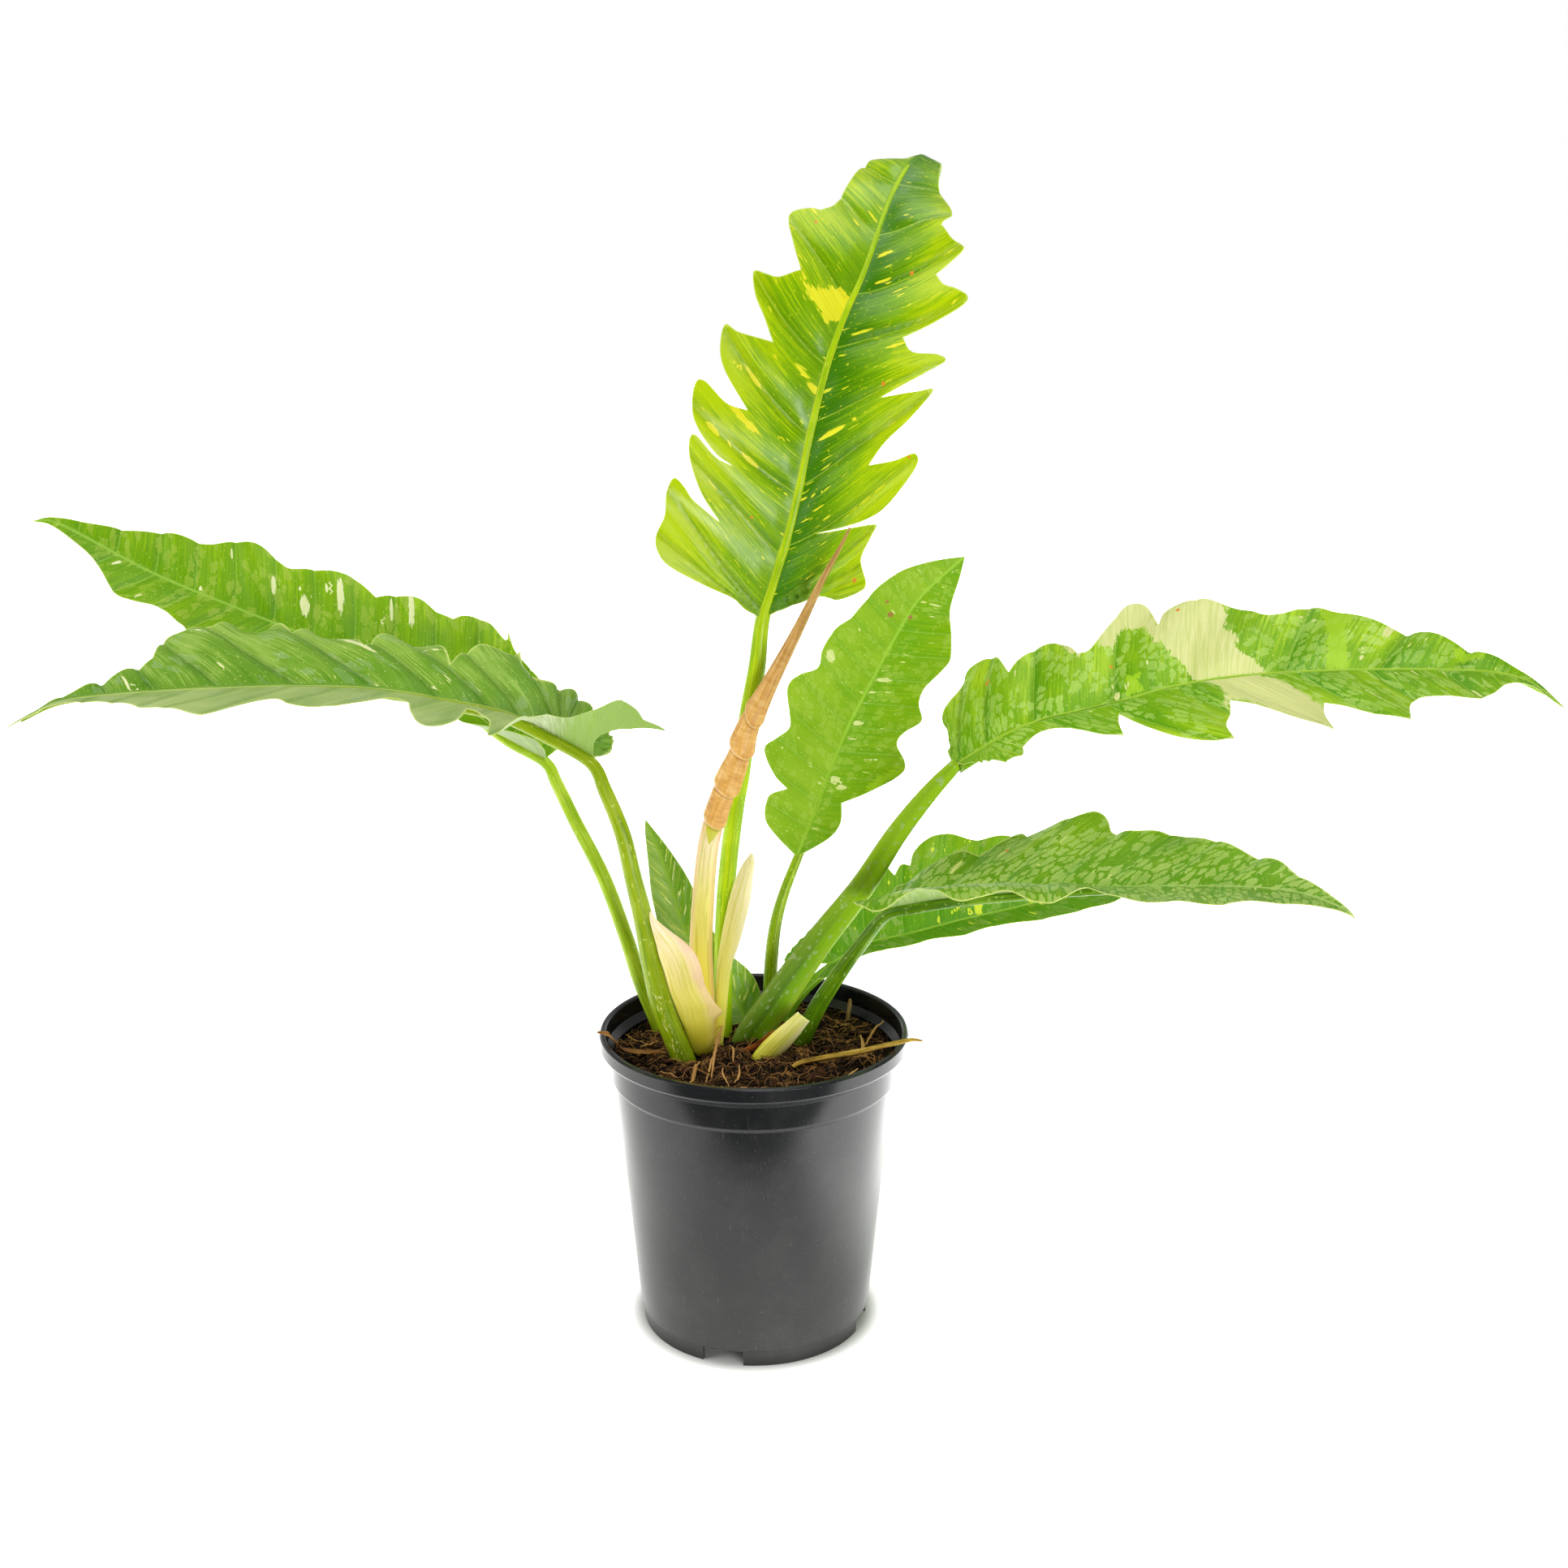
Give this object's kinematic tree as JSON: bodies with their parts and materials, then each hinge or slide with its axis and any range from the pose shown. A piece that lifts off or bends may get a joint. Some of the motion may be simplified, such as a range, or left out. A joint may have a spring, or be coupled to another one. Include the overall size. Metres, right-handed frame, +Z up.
{
  "type": "ring of fire philodendron in a nursery pot",
  "caption": "Philodendron with long serrated leaves on slender stalks, a rolled new leaf and pale sheaths, growing from potting mix in a round black nursery pot.",
  "frame": {"origin": "pot axis at the height of the foot, within 3 mm of the centre of the plant's box", "axes": "+Z up, -Y towards the viewer, +X to the viewer's right along the widest spread of the leaves"},
  "size_m": [0.8122, 0.2591, 0.6156],
  "materials": {
    "pot_plastic": "satin black injection-moulded plastic with fine dust and scratches",
    "potting_mix": "dark crumbly bark and coconut fibre",
    "creeping_stem": "dull, covered by the mix",
    "young_leaf": "glossy lime green with yellow flecks",
    "leaf": "half-gloss mid green with pale grey-green blotches and cream flecks",
    "cream_marked_leaf": "half-gloss green with a cream sector",
    "small_leaf": "half-gloss green with cream streaks",
    "new_leaf": "satin bronze above, yellow-green below",
    "sheath": "satin cream with pink and yellow-green",
    "dry_sheath": "dry, papery orange-brown",
    "dry_stalk": "dry straw yellow",
    "dry_scrap": "dry brown, torn and fibrous",
    "root": "dull tan"
  },
  "bodies": {
    "root": {"nursery_pot": "pot_plastic", "soil": "potting_mix", "stem_with_roots": "creeping_stem", "leaf_top_upright": "young_leaf", "leaf_left_back": "leaf", "leaf_left_front": "leaf", "leaf_centre_right": "leaf", "leaf_right_variegated": "cream_marked_leaf", "leaf_right_front": "leaf", "leaf_right_back": "leaf", "leaf_small_young": "small_leaf", "new_leaf_roll": "new_leaf", "sheath_large": "sheath", "sheath_tall": "sheath", "sheath_short": "sheath", "sheath_dry_strip": "dry_sheath", "dry_stalk": "dry_stalk", "dry_leaf_scrap": "dry_scrap", "root_tip": "root"}
  },
  "joints": []
}
